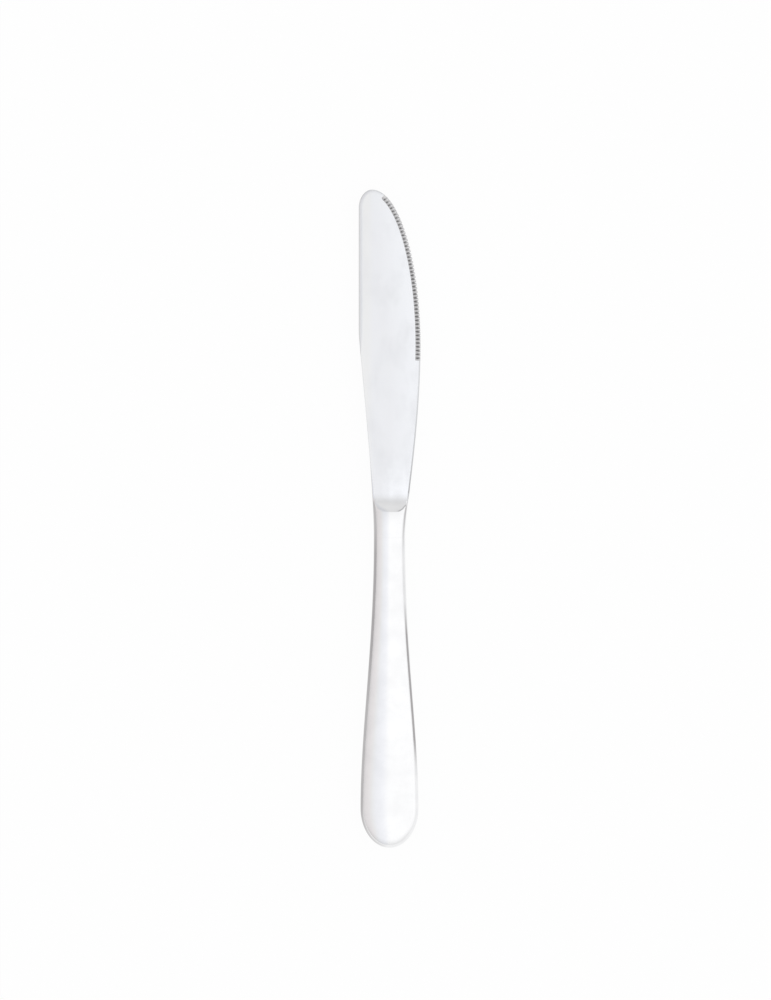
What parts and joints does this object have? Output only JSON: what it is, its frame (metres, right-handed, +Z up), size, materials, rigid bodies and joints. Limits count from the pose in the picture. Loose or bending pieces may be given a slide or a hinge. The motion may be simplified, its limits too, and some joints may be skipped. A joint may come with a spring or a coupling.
{
  "type": "dessert knife",
  "caption": "Dessert knife with a flat round-tipped blade, fine teeth along the front of its edge, a stepped shoulder and an oval handle that widens to a round butt.",
  "frame": {"origin": "on the surface that the knife lies on, under the middle of its box", "axes": "+Y from the butt to the tip, +X from the spine to the edge, +Z up through the flat of the blade"},
  "size_m": [0.0196, 0.208, 0.0084],
  "materials": {
    "blade_steel": "satin",
    "handle_steel": "polished",
    "braze": "satin",
    "cement": "matte"
  },
  "bodies": {
    "root": {"blade": "blade_steel", "handle_shell_upper": "handle_steel", "handle_shell_lower": "handle_steel", "seam_braze": "braze", "cement_core": "cement"}
  },
  "joints": []
}
